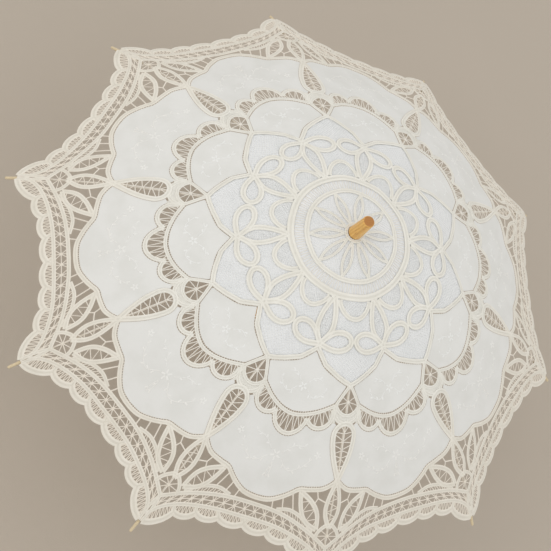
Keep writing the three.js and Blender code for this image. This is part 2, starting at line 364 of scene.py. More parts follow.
@dataclass
class Pattern:
    """A flat mesh on the plan of one canopy unit, before it is trimmed and draped.

    Attributes:
        points: x along the rib, y across it, and the height above the cloth.
        weave: the two coordinates that the finish follows.
        faces: the corner numbers of each face.
        count: how many points there are.
    """

    points: list = field(default_factory=list)
    weave: list = field(default_factory=list)
    faces: list = field(default_factory=list)
    count: int = 0

    def add(self, points: np.ndarray, weave: np.ndarray, faces: Iterable) -> None:
        """Adds a shape.

        Args:
            points: its points.
            weave: their pattern coordinates.
            faces: its faces, numbered from its own first point.
        """
        self.faces += [tuple(int(i) + self.count for i in f) for f in faces]
        self.points.append(points)
        self.weave.append(weave)
        self.count += len(points)

    def sweep(self, line: Sequence, section: np.ndarray, lift: float, ring: bool = False) -> None:
        """Runs a closed section along a line.

        Args:
            line: the line on the plan.
            section: rows of across, up and pattern coordinate, anticlockwise.
            lift: the height of the line.
            ring: whether the line closes on itself.
        """
        line = np.asarray(line, float)
        n, m = len(line), len(section)
        ahead = np.roll(line, -1, 0) - np.roll(line, 1, 0) if ring else np.gradient(line, axis=0)
        ahead /= np.maximum(np.linalg.norm(ahead, axis=1, keepdims=True), 1e-9)
        left = np.stack([-ahead[:, 1], ahead[:, 0]], axis=1)
        flat = line[:, None, :] + left[:, None, :] * section[None, :, :1]
        rise = np.full((n, 1), lift) + section[None, :, 1]
        weave = np.stack(np.broadcast_arrays(along_of(line)[:, None], section[None, :, 2]), axis=-1)
        i, j = np.arange(n if ring else n - 1)[:, None], np.arange(m)[None, :]
        i2, j2 = (i + 1) % n, (j + 1) % m
        quads = np.stack([i * m + j, i * m + j2, i2 * m + j2, i2 * m + j], axis=-1).reshape(-1, 4)
        caps = [] if ring else [range(m - 1, -1, -1), range((n - 1) * m, n * m)]
        self.add(np.dstack([flat, rise]).reshape(-1, 3), weave.reshape(-1, 2), [*quads, *caps])

    def tape(self, line: np.ndarray, width: float, lift: float = 0.25, ring: bool = False) -> None:
        """Lays a woven tape with two raised edges along a line."""
        section = np.column_stack([TAPE_SECTION * [width, 1.0], TAPE_SECTION[:, 0]])
        self.sweep(line, section, lift, ring)

    def thread(self, line: Sequence, radius: float = 0.36, lift: float = 0.2, ring: bool = False) -> None:
        """Lays a round thread along a line."""
        section = np.column_stack([THREAD_SECTION * radius, np.linspace(0, 0.75, 4)])
        self.sweep(line, section, lift, ring)

    def strand(self, a: Sequence, b: Sequence, radius: float, lift: float = 0.2) -> None:
        """Lays a thread straight from a to b."""
        self.thread(spaced(np.array([a, b]), count=3), radius, lift)

    def stitch(self, line: np.ndarray, width: float, lift: float = 0.12) -> None:
        """Lays a low satin stitch along a line."""
        section = np.column_stack([STITCH_SECTION * [width, 1.0], STITCH_SECTION[:, 0]])
        self.sweep(line, section, lift)

    def cloth(self, outline: np.ndarray, lift: float, thick: float = 0.4, pitch: float = 5.0) -> None:
        """Cuts a piece of cloth with an even web of triangles and its real thickness.

        Args:
            outline: its edge.
            lift: the height of its middle.
            thick: its thickness.
            pitch: the distance between the points of the web.
        """
        if area_of(outline) < 0:
            outline = outline[::-1]
        edge = spaced(np.vstack([outline, outline[:1]]), 2.6)[:-1]
        low, high = edge.min(0), edge.max(0)
        axes = [np.arange(low[k], high[k], pitch) for k in range(2)]
        grid = np.stack(np.meshgrid(*axes), -1).reshape(-1, 2)
        grid = grid[covers(edge, grid)]
        grid = grid[nearest(grid, edge) > 0.55 * pitch]
        corners = [Vector(p) for p in np.vstack([edge, grid])]
        flat, _, faces, *_ = delaunay_2d_cdt(corners, [], [list(range(len(edge)))], 1, 1e-4)
        flat = np.array([tuple(p) for p in flat])
        faces = [f if area_of(flat[list(f)]) > 0 else list(f)[::-1] for f in faces]
        ways = {(a, b) for f in faces for a, b in zip(f, [*f[1:], f[0]])}
        n = len(flat)
        rim = [(a, a + n, b + n, b) for a, b in ways if (b, a) not in ways]
        points = np.vstack([np.column_stack([flat, np.full(n, lift + s * thick / 2)]) for s in (1, -1)])
        under = [[i + n for i in reversed(f)] for f in faces]
        self.add(points, np.vstack([flat, flat]), [*faces, *under, *rim])

    def net(self, outline: np.ndarray, pitch: float, slant: float, radius: float, lift: float) -> None:
        """Crosses an outline with two sets of fine threads.

        Args:
            outline: the window to fill.
            pitch: the distance between threads.
            slant: the angle of the first set; the second is square to it.
            radius: the threads' radius.
            lift: the threads' height.
        """
        centre, reach = outline.mean(0), np.linalg.norm(outline - outline.mean(0), axis=1).max()
        steps = np.arange(-reach, reach, 1.0)
        for way in (slant, slant + math.pi / 2):
            ahead, side = polar(1.0, way), polar(1.0, way + math.pi / 2)
            for off in np.arange(-reach + pitch / 2, reach, pitch):
                line = centre + side * off + steps[:, None] * ahead
                within = np.flatnonzero(covers(outline, line))
                for run in np.split(within, np.flatnonzero(np.diff(within) > 1) + 1):
                    if len(run) > 3:
                        self.thread(spaced(line[run], 9.0, 2 + len(run) // 9), radius, lift)

    def bars(self, a: np.ndarray, b: np.ndarray, count: int, slack: float, radius: float) -> None:
        """Joins two edges with threads that lean to and fro.

        Args:
            a: the first edge.
            b: the second edge, in the same direction.
            count: how many threads.
            slack: how far they lean, from 0, straight across, to 1, each from where the last ended.
            radius: the threads' radius.
        """
        a, b = spaced(a, count=2 * count + 1), spaced(b, count=2 * count + 1)
        for k in range(count):
            at = 2 * k + 1
            lean = (1 if k % 2 else -1) * slack / 2
            ends = [line[at] + (line[at + 1] - line[at - 1]) * lean * s for line, s in ((a, 1), (b, -1))]
            self.strand(*ends, radius)

    def web(self, centre: Sequence, rim: Iterable, radius: float = 0.5, eye: float = 1.5) -> None:
        """Spins threads from a centre to points on the rim, with a small woven eye.

        Args:
            centre: where the threads meet.
            rim: where they end.
            radius: the threads' radius.
            eye: the eye's radius.
        """
        centre = np.asarray(centre, float)
        for point in rim:
            self.strand(centre, point, radius, 0.3)
        self.thread(centre + polar(eye, np.linspace(0, 2 * math.pi, 9)[:-1]), 0.55, 0.3, ring=True)

    def trimmed(self) -> "Pattern":
        """Returns the pattern without what lies outside one rib's share, its cut ends closed."""
        points, weave = np.vstack(self.points), np.vstack(self.weave)
        shape = bmesh.new()
        layer = shape.verts.layers.float_vector.new("weave")
        corners = [shape.verts.new(p) for p in points]
        for corner, (s, t) in zip(corners, weave):
            corner[layer] = (s, t, 0.0)
        for f in self.faces:
            shape.faces.new([corners[i] for i in f])
        for side in SIDES:
            cut = bmesh.ops.bisect_plane(
                shape,
                geom=[*shape.verts, *shape.edges, *shape.faces],
                dist=1e-5,
                plane_co=(0, 0, 0),
                plane_no=(-math.sin(HALF), side * math.cos(HALF), 0),
                clear_outer=True,
            )["geom_cut"]
            edges = [e for e in cut if isinstance(e, bmesh.types.BMEdge) and e.is_boundary]
            bmesh.ops.holes_fill(shape, edges=edges, sides=0)
        shape.verts.index_update()
        found = Pattern()
        found.add(
            np.array([v.co[:] for v in shape.verts]),
            np.array([v[layer][:2] for v in shape.verts]),
            [[v.index for v in f.verts] for f in shape.faces],
        )
        shape.free()
        return found

    def draped(self, name: str, dome: Dome, angle: float) -> bpy.types.Object:
        """Lays the pattern over the dome.

        Args:
            name: the new piece's name.
            dome: the surface.
            angle: how far the unit is turned about the shaft.

        Returns:
            The piece.
        """
        points, weave = np.vstack(self.points), np.vstack(self.weave)
        mesh = bpy.data.meshes.new(name)
        mesh.from_pydata(dome.place(turned(points[:, :2], angle), points[:, 2]), [], self.faces)
        corners = np.zeros(len(mesh.loops), np.int32)
        mesh.loops.foreach_get("vertex_index", corners)
        mesh.uv_layers.new(name="Weave").data.foreach_set("uv", weave[corners].astype(np.float32).ravel())
        mesh.polygons.foreach_set("use_smooth", np.ones(len(mesh.polygons), bool))
        mesh.set_sharp_from_angle(angle=math.radians(60))
        piece = bpy.data.objects.new(name, mesh)
        bpy.context.scene.collection.objects.link(piece)
        return piece


# The lace


def panel(line: np.ndarray, side: int) -> np.ndarray:
    """Moves a line from a panel's own plan to the rib's plan.

    Args:
        line: rows of across (above 0 towards the rib) and outward.
        side: the panel beside the rib, -1 or 1.

    Returns:
        The line as rows of outward and across from the rib.
    """
    line = np.atleast_2d(np.asarray(line, float))
    return turned(line[:, ::-1] * [1.0, -side], side * HALF)


def both(half: Sequence) -> np.ndarray:
    """Returns a panel line drawn from its middle outward, with its mirror image before it."""
    half = np.asarray(half, float)
    return np.vstack([half[::-1] * [-1.0, 1.0], half[1:]])


@dataclass(frozen=True)
class TapeWidths:
    """Widths of the tapes in millimetres, under the names of what they outline."""

    daisy: float = 3.7
    inner_ring: float = 6.2
    outer_ring: float = 8.6
    arch: float = 5.8
    trefoil: float = 6.8
    star: float = 5.6
    petal: float = 4.2
    cross: float = 4.6
    moon: float = 5.0
    flounce: float = 5.0
    teardrop: float = 6.2
    corner: float = 5.4
    eye: float = 4.8
    border: float = 4.6
    tail: float = 4.4
    rim: float = 7.2


@dataclass
class LaceUnit:
    """One rib's share of the lace, drawn flat.

    Panel lines are rows of (across, outward) from the middle of a panel; rib lines are rows of
    (outward, across) from a rib.

    Attributes:
        rings: radii of the two tape rings.
        node: where the three leaves of a trefoil meet, on the panel's middle.
        star: the medallion's edge, from the panel's middle to the rib.
        diamond: half the window on the rib outside the medallion.
        petal: the inner petal's outer edge, from the diamond to the panel's middle.
        feet: where the half-moon scallops meet the inner petal.
        flounce: the outer petal's outer edge, from the panel's middle to the rib.
        teardrop: ends of the teardrop on the rib.
        border: the border's inner tape, from the panel's middle to the rib.
        selvedge: the border's outer straight tape.
        cusps: where the rim's scallops meet.
        patches: the two pieces of cloth beside the diamond, on one side of the rib.
        moon_rises: how far the middle and the side half-moons stand off the petal.
        fence: the tape that holds the open cells above the border, on one side of the rib.
        arc: half the tape round the corner's web, ending on the rib.
        fork: where the corner's forked thread starts, then its three ends.
        rungs: the ends of the slanting bars from the outer petal to the border.
        blooms: the middle and the size of each embroidered flower.
        stems: the embroidered stems on one side of a panel.
        overlap: how far the lining reaches past the medallion's edge.
        wide: the widths of the tapes.
        tapes: the tapes of the unit.
        threads: its worked threads.
        nets: its fine nets.
        petals: its cloth petals.
        lining: the lining under its share of the medallion.
        sprigs: its embroidery.
    """

    rings: tuple = (60.0, 79.5)
    node: tuple = (0.0, 139.4)
    star: tuple = ((0.0, 144.0), (16.6, 160.0), (34.5, 167.3), (47.0, 170.8), (55.9, 172.0))
    diamond: tuple = ((180.9, 0.0), (191.8, 8.2), (203.0, 15.8))
    petal: tuple = ((48.0, 198.2), (32.0, 210.3), (16.0, 218.0), (0.0, 221.0))
    feet: tuple = ((20.7, 221.0), (47.0, 203.2))
    flounce: tuple = (
        (0.0, 317.3), (17.0, 315.5), (31.0, 309.0), (41.0, 302.0), (48.0, 296.5),
        (60.0, 293.5), (74.6, 288.7), (83.0, 282.0), (89.0, 273.9),
    )  # fmt: skip
    teardrop: tuple = (288.0, 224.5)
    border: tuple = ((0.0, 324.3), (25.8, 325.0), (54.6, 328.6), (84.0, 335.8), (112.5, 346.2))
    selvedge: tuple = (
        (0.0, 340.1), (36.0, 341.0), (64.0, 344.2), (89.0, 350.0), (107.0, 358.0), (120.5, 370.0),
    )  # fmt: skip
    cusps: tuple = ((0.0, 347.4), (32.0, 348.9), (61.0, 352.0), (88.0, 358.8), (120.6, 377.8))
    patches: tuple = (
        ((214.5, 0), (214.2, 5.4), (209.8, 11.5), (204, 15.8), (213, 15.8), (220.5, 11), (226, 0)),
        ((205.5, 17), (209, 21), (217.5, 21.5), (224.5, 16.5), (221, 12.5), (213, 15.5)),
    )
    moon_rises: tuple = (22.0, 16.2)
    fence: tuple = ((345.5, 21.0), (336.0, 28.0), (325.5, 40.0), (318.5, 54.0), (317.0, 70.0))
    arc: tuple = ((353.0, 16.0), (345.0, 12.5), (338.5, 5.0), (337.5, 0.0))
    fork: tuple = ((307.5, 20.0), (313.5, 7.5), (297.5, 23.0), (317.0, 25.5))
    rungs: tuple = (((42.5, 301), (52.0, 318)), ((33.0, 308), (38.5, 320.5)), ((22.0, 313.5), (25.5, 324)))
    blooms: tuple = (((0.0, 190.0), 5.2), ((52.0, 256.0), 4.2), ((0.0, 269.0), 6.4))
    stems: tuple = (
        ((7, 192), (15, 199), (23, 196), (29, 188)),
        ((5, 184), (12, 177), (21, 178)),
        ((9, 272), (22, 281), (36, 276), (47, 262)),
        ((8, 264), (19, 254), (32, 251)),
    )
    overlap: float = 2.6
    wide: TapeWidths = TapeWidths()
    tapes: Pattern = field(default_factory=Pattern)
    threads: Pattern = field(default_factory=Pattern)
    nets: Pattern = field(default_factory=Pattern)
    petals: Pattern = field(default_factory=Pattern)
    lining: Pattern = field(default_factory=Pattern)
    sprigs: Pattern = field(default_factory=Pattern)

    def draw(self) -> None:
        """Draws every part of the lace, from the shaft out to the rim."""
        self.draw_daisy()
        self.draw_rings()
        self.draw_medallion()
        self.draw_inner_petals()
        self.draw_diamond()
        self.draw_half_moons()
        self.draw_outer_petals()
        self.draw_teardrop()
        self.draw_corner()
        self.draw_border()
        self.draw_sprigs()
        for name in ("tapes", "threads", "nets", "petals", "lining", "sprigs"):
            setattr(self, name, getattr(self, name).trimmed())

    def draw_daisy(self) -> None:
        """Draws the ten narrow leaves round the ferrule."""
        for side in SIDES:
            window = leaf((0, 18), (0, 53), 3.4, 0.55)
            for line in leaf((0, 12.5), (0, 57.0), 5.2, 0.55):
                self.tapes.tape(panel(line, side), self.wide.daisy, 0.4)
            self.nets.net(panel(joined(window), side), 2.6, side * HALF, 0.3, 0.2)

    def draw_rings(self) -> None:
        """Draws the two tape rings and the threads between them."""
        inner, outer = self.rings
        sweep = np.linspace(-HALF * 1.1, HALF * 1.1, 22)
        self.tapes.tape(polar(inner, sweep), self.wide.inner_ring, 0.5)
        self.tapes.tape(polar(outer, sweep), self.wide.outer_ring, 0.45)
        ground = np.vstack([polar(inner, sweep), polar(16.0, sweep[::-1])])
        self.nets.net(ground, 3.1, math.pi / 4, 0.28, -0.05)
        for k in range(RING_BARS):
            angle = (k + 0.5) / RING_BARS * TURN - HALF
            lean = 0.012 * (1 if k % 2 else -1)
            self.threads.thread([polar(inner, angle - lean), polar(outer, angle + lean)], 0.4, 0.15)

    def draw_medallion(self) -> None:
        """Draws the arches, the trefoils and the netted lining inside the star."""
        angles = np.linspace(-1, 1, 25)
        arch = polar(84.5 + 20.5 * np.cos(angles * math.pi / 2) ** 0.75, angles * math.radians(13.2))
        self.tapes.tape(spaced(arch, 2.2), self.wide.arch, 0.55)
        self.nets.net(np.vstack([arch, polar(84.0, angles[::-1] * 0.23)]), 2.6, math.pi / 4, 0.26, 0.1)
        for side in SIDES:
            for line in leaf((0, 82), self.node, 10.3, 0.62):
                self.tapes.tape(panel(line, side), self.wide.trefoil, 0.6)
            window = leaf((0, 94), (0, 131), 6.5, 0.6)
            self.nets.net(panel(joined(window), side), 2.6, side * HALF, 0.3, 0.2)
            for way in SIDES:
                loop = leaf(self.node, (way * 37.5, self.node[1] - 13.8), 10.6, 0.62, loop=True)[0]
                self.tapes.tape(panel(loop, side), self.wide.trefoil, 0.7)
            star = panel(both(self.star), side)
            self.tapes.tape(spaced(star, 2.4), self.wide.star, 0.55)
        inner, outer = polar(12.0, np.linspace(1.15, -1.15, 9) * HALF), self.star_line()
        ground = np.vstack([outer, inner])
        ground = ground if area_of(ground) > 0 else ground[::-1]
        self.lining.cloth(inset(ground, -self.overlap), -0.55, 0.35, 6.0)
        band = np.vstack([outer, polar(83.0, np.linspace(1.1, -1.1, 15) * HALF)])
        self.nets.net(band, 3.1, math.pi / 4, 0.28, -0.05)

    def star_line(self) -> np.ndarray:
        """Returns the medallion's edge across a whole unit and a little past it."""
        half = np.asarray(self.star, float)
        left, right = panel(both(half), 1), panel(both(half), -1)
        return np.vstack([right, left[::-1][1:]])

    def draw_inner_petals(self) -> None:
        """Draws the inner ring of cloth petals and the tape round them."""
        edge = np.vstack([curve(self.star, 2.0), curve(self.petal, 2.0)])
        outline = both_closed(edge)
        line = curve(both(self.petal[::-1]), 2.4)
        for side in SIDES:
            self.petals.cloth(panel(inset(outline, 3.3), side), -0.1)
            self.tapes.tape(panel(line, side), self.wide.petal, 0.35)
            self.hem(line, side, -3.4)
            self.hem(curve(both(self.star), 2.4), side, 3.4)

    def hem(self, line: np.ndarray, side: int, reach: float, pitch: float = 3.1) -> None:
        """Ties cloth to a tape with small stitches across the gap between them.

        Args:
            line: the tape's line on the panel.
            side: the panel.
            reach: how far the stitches go, to the left of the line where above 0.
            pitch: the distance between stitches.
        """
        line = spaced(line, pitch)
        ahead = np.gradient(line, axis=0)
        left = np.stack([-ahead[:, 1], ahead[:, 0]], axis=1) / np.linalg.norm(ahead, axis=1, keepdims=True)
        for point, away in zip(line[1:-1], left[1:-1]):
            stitch = np.array([point + away * reach * 0.4, point + away * reach * 1.2])
            self.threads.thread(panel(stitch, side), 0.3, 0.15)

    def draw_diamond(self) -> None:
        """Draws the diamond on the rib, with its eight-spoked web, and the tapes that cross below it."""
        side = curve(self.diamond, 2.2)
        lower = [(203.0, 15.8), (209.8, 11.5), (214.2, 5.5)]
        lower = curve([*lower, (215.4, 0), *[(u, -v) for u, v in lower[::-1]]], 2.2)
        for line in (side, flipped(side), lower):
            self.tapes.tape(line, self.wide.petal, 0.5)
        corners = [(184.0, 0), (194, 8.5), (203, 13.5), (210, 8), (213, 0)]
        self.threads.web((200.0, 0.0), [*corners, *[(u, -v) for u, v in corners[1:-1]]])
        for way in SIDES:
            cross = [(203.0, 15.8 * way), (213.0, 15.8 * way), (220.5, 11.0 * way), (226.0, 2.0 * way)]
            self.tapes.tape(curve(cross, 2.2), self.wide.cross, 0.35)
            for patch in self.patches:
                self.tapes.cloth(np.array(patch) * [1, way], 0.05, 0.5, 4.0)

    def half_moons(self) -> list:
        """Returns the three half-moon scallops of a panel as pairs of feet and rise."""
        (a, b), (c, d) = self.feet
        middle, beside = self.moon_rises
        return [((-a, b), (a, b), middle), ((a, b), (c, d), beside), ((-c, d), (-a, b), beside)]

    def draw_half_moons(self) -> None:
        """Draws the scalloped windows outside the inner petals."""
        petal = curve(both(self.petal[::-1]), 1.2)
        for side in SIDES:
            for foot, other, rise in self.half_moons():
                moon = bow(foot, other, rise)
                self.tapes.tape(panel(moon, side), self.wide.moon, 0.4)
                low, high = sorted((foot[0], other[0]))
                base = petal[(petal[:, 0] > low + 1) & (petal[:, 0] < high - 1)]
                count = round(along_of(moon)[-1] / 4.9)
                self.threads.bars(panel(base, side), panel(moon, side), count, 0.9, 0.55)

    def draw_outer_petals(self) -> None:
        """Draws the outer ring of cloth petals and the tape round them."""
        middle, beside = (bow(*moon) for moon in self.half_moons()[:2])
        crown = middle[middle[:, 0] >= 0]
        throat = np.array([self.to_panel(p) for p in ((213.5, 17.0), (222.0, 11.5))])
        drop = np.array([self.to_panel(p) for p in self.drop_side()[::-1]])
        edge = curve(self.flounce, 2.0)
        outline = both_closed(np.vstack([crown, beside[1:], throat, drop, edge[::-1][1:]]))
        for side in SIDES:
            self.petals.cloth(panel(inset(outline, 3.4), side), -0.1)
            line = curve(both(self.flounce), 2.4)
            self.tapes.tape(panel(line, side), self.wide.flounce, 0.45)
            self.hem(line, side, -3.4)
            for way in SIDES:
                self.hem(beside * [way, 1.0], side, way * 3.2)
            self.hem(middle, side, 3.2)

    def to_panel(self, point: Sequence) -> tuple:
        """Returns a rib point as the panel beside it counts it."""
        u, v = point
        return (u * math.sin(HALF) - v * math.cos(HALF), u * math.cos(HALF) + v * math.sin(HALF))

    def drop_side(self) -> np.ndarray:
        """Returns one side of the teardrop, from its point to its round end."""
        far, near = self.teardrop
        loop = leaf((far, 0), (near, 0), 13.6, 0.79, loop=True)[0]
        side = loop[: len(loop) // 2 + 1]
        return side if side[:, 1].mean() > 0 else flipped(side)

    def draw_teardrop(self) -> None:
        """Draws the teardrop on the rib, with its spine and cross threads."""
        side = self.drop_side()
        self.tapes.tape(np.vstack([side, flipped(side)[::-1][1:]]), self.wide.teardrop, 0.55)
        spine = spaced(np.array([(283.0, 0.0), (226.0, 0.0)]), 8.0)
        self.threads.thread(spine, 0.5, 0.35)
        for way in (1.0, -1.0):
            self.threads.bars(spine * [1, way], side * [1, way], 12, 0.75, 0.5)

    def draw_corner(self) -> None:
        """Draws the fan of leaves, the web and the open cells between the outer petals and the border."""
        self.fan_leaf((288.5, 0), (341.0, 0), 8.4, 0.6)
        sides = leaf((292.0, 0), (338.0, 0), 6.6, 0.58)
        self.threads.bars(*sides, 9, 0.9, 0.5)
        for way in SIDES:
            ends = ((299.0, 43.0 * way), (342.5, 15.5 * way))
            self.fan_leaf(*ends, 8.3, 0.5)
            self.threads.bars(*leaf(*ends, 6.6, 0.58), 9, 0.9, 0.5)
            upper = curve(np.array(self.fence) * [1, way])
            self.tapes.tape(upper, self.wide.petal, 0.35)
            edge = panel(curve(self.border, 2.4), way)
            below = edge[(edge[:, 0] < 352) & (np.abs(edge[:, 1]) < 66)]
            self.threads.bars(upper, below[np.argsort(-below[:, 0])], 15, 0.7, 0.52)
            fork, *tines = np.array(self.fork) * [1, way]
            for tine in tines:
                self.threads.strand(fork, tine, 0.75, 0.35)
            for rung in self.rungs:
                self.threads.strand(*panel(rung, way), 0.8, 0.35)
        self.tapes.tape(curve([*flipped(self.arc), *self.arc[-2::-1]]), self.wide.eye, 0.6)
        rim = [(341.5, 0), (344, 8), (350, 12.5), (356, 7), (361, 0)]
        self.threads.web((350.0, 0.0), [*rim, *[(u, -v) for u, v in rim[1:-1]]])

    def fan_leaf(self, start: tuple, end: tuple, half: float, lift: float) -> None:
        """Lays the two tapes of one leaf of the corner's fan."""
        for line in leaf(start, end, half, 0.58):
            self.tapes.tape(line, self.wide.corner, lift)

    def draw_border(self) -> None:
        """Draws the two border tapes, the webs between them and the scalloped rim."""
        inner, outer = curve(self.border, 2.0), curve(self.selvedge, 2.0)
        for way in SIDES:
            near, far = (panel(spaced(line, count=2 * WEBS + 1), way) for line in (inner, outer))
            self.tapes.tape(panel(inner, way), self.wide.border, 0.45)
            self.tapes.tape(panel(outer, way), self.wide.border, 0.4)
            middle = (near + far) / 2
            self.threads.thread(middle, 0.5, 0.3)
            for k in range(1, 2 * WEBS, 2):
                self.threads.web(middle[k], [*near[k - 1 : k + 2], *far[k - 1 : k + 2]], 0.52, 1.4)
            tail = [near[-1], (380.0, 2.6 * way), (397.0, 2.2 * way)]
            self.tapes.tape(curve(tail, 2.2), self.wide.tail, 0.5)
            for a, b in zip(self.cusps, self.cusps[1:]):
                self.rim_scallop(a, b, outer, way)

    def rim_scallop(self, a: tuple, b: tuple, selvedge: np.ndarray, way: int) -> None:
        """Draws one scallop of the rim and the threads inside it.

        Args:
            a: its cusp nearer the panel's middle.
            b: its other cusp.
            selvedge: the straight tape that it stands on.
            way: which side of the rib it is on.
        """
        moon = self.shallow(a, b, 4.7)
        self.tapes.tape(panel(moon, way), self.wide.rim, 0.35)
        base = selvedge[(selvedge[:, 0] > a[0] + 2) & (selvedge[:, 0] < b[0] - 2)]
        pair = [panel(line, way) for line in (base, moon)]
        self.threads.bars(*pair, round(np.linalg.norm(np.subtract(b, a)) / 2.5), 0.9, 0.56)
        foot = base[0] * 0.5 + np.array(a) * 0.5
        self.tapes.tape(panel(curve([base[0], foot, a], 2.0), way), self.wide.moon, 0.25)

    def shallow(self, a: tuple, b: tuple, rise: float) -> np.ndarray:
        """Draws a shallow arc.

        Args:
            a: where it starts.
            b: where it ends.
            rise: how far it stands off the straight line, to the left of the way from a to b.

        Returns:
            The points of the line.
        """
        a, b = np.asarray(a), np.asarray(b)
        left = np.array([a[1] - b[1], b[0] - a[0]]) / np.linalg.norm(b - a)
        share = np.linspace(0, 1, 25)[:, None]
        return spaced(a + (b - a) * share + left * rise * (1 - np.abs(2 * share - 1) ** 2.3), 2.0)

    def draw_sprigs(self) -> None:
        """Draws the embroidered flowers on the cloth petals."""
        inner, beside, outer = self.blooms
        for side in SIDES:
            self.flower(*inner, side)
            for way in SIDES:
                for stem in self.stems:
                    self.stem(np.array(stem) * [way, 1], side)
                self.flower(np.array(beside[0]) * [way, 1], beside[1], side)
            self.flower(*outer, side)
            self.stem([(0, 277), (2, 288), (-2, 298)], side)

    def flower(self, centre: Sequence, size: float, side: int) -> None:
        """Embroiders a five-petalled flower.

        Args:
            centre: its middle on the panel.
            size: the length of its petals.
            side: the panel.
        """
        for k in range(5):
            away = polar(1.0, math.pi / 2 + k * 2 * math.pi / 5)
            line = np.array(centre) + away * np.linspace(0.25, 1.0, 4)[:, None] * size
            self.sprigs.stitch(panel(line, side), 2.0)

    def stem(self, points: Sequence, side: int) -> None:
        """Embroiders a curved stem with leaves on alternate sides.

        Args:
            points: the points on the panel that it goes through.
            side: the panel.
        """
        line = curve(points, 2.0)
        self.sprigs.stitch(panel(line, side), 0.9)
        ahead = np.gradient(line, axis=0)
        for k in range(3, len(line), 4):
            away = polar(1.0, math.atan2(ahead[k, 1], ahead[k, 0]) + (0.8 if k % 8 == 3 else -0.8))
            edge = line[k] + away * np.linspace(0.8, 4.6, 4)[:, None]
            self.sprigs.stitch(panel(edge, side), 1.6)


def joined(sides: Sequence) -> np.ndarray:
    """Returns the outline between two lines that run side by side."""
    return np.vstack([sides[0], sides[1][::-1]])


def both_closed(half: np.ndarray) -> np.ndarray:
    """Closes a panel outline drawn on one side of its middle with its mirror image.

    Args:
        half: the points with across at or above 0, starting and ending on the middle.

    Returns:
        The whole outline, anticlockwise.
    """
    other = half[::-1] * [-1.0, 1.0]
    outline = np.vstack([half, other[1:-1]])
    return outline if area_of(outline) > 0 else outline[::-1]


# Finishes


def tint(red: float, green: float, blue: float) -> tuple:
    """Returns a colour given in 0 to 255 as a shader takes it."""
    parts = [c / 255 for c in (red, green, blue)]
    return (*[c / 12.92 if c <= 0.04045 else ((c + 0.055) / 1.055) ** 2.4 for c in parts], 1.0)


YELLOW = (0.985, 0.955, 0.92, 1.0)  # what the rim's cotton keeps of red, green and blue
YELLOWED = (0.21, 0.34)  # from where to where, out from the shaft, in metres


Socket, Material = bpy.types.NodeSocket, bpy.types.Material


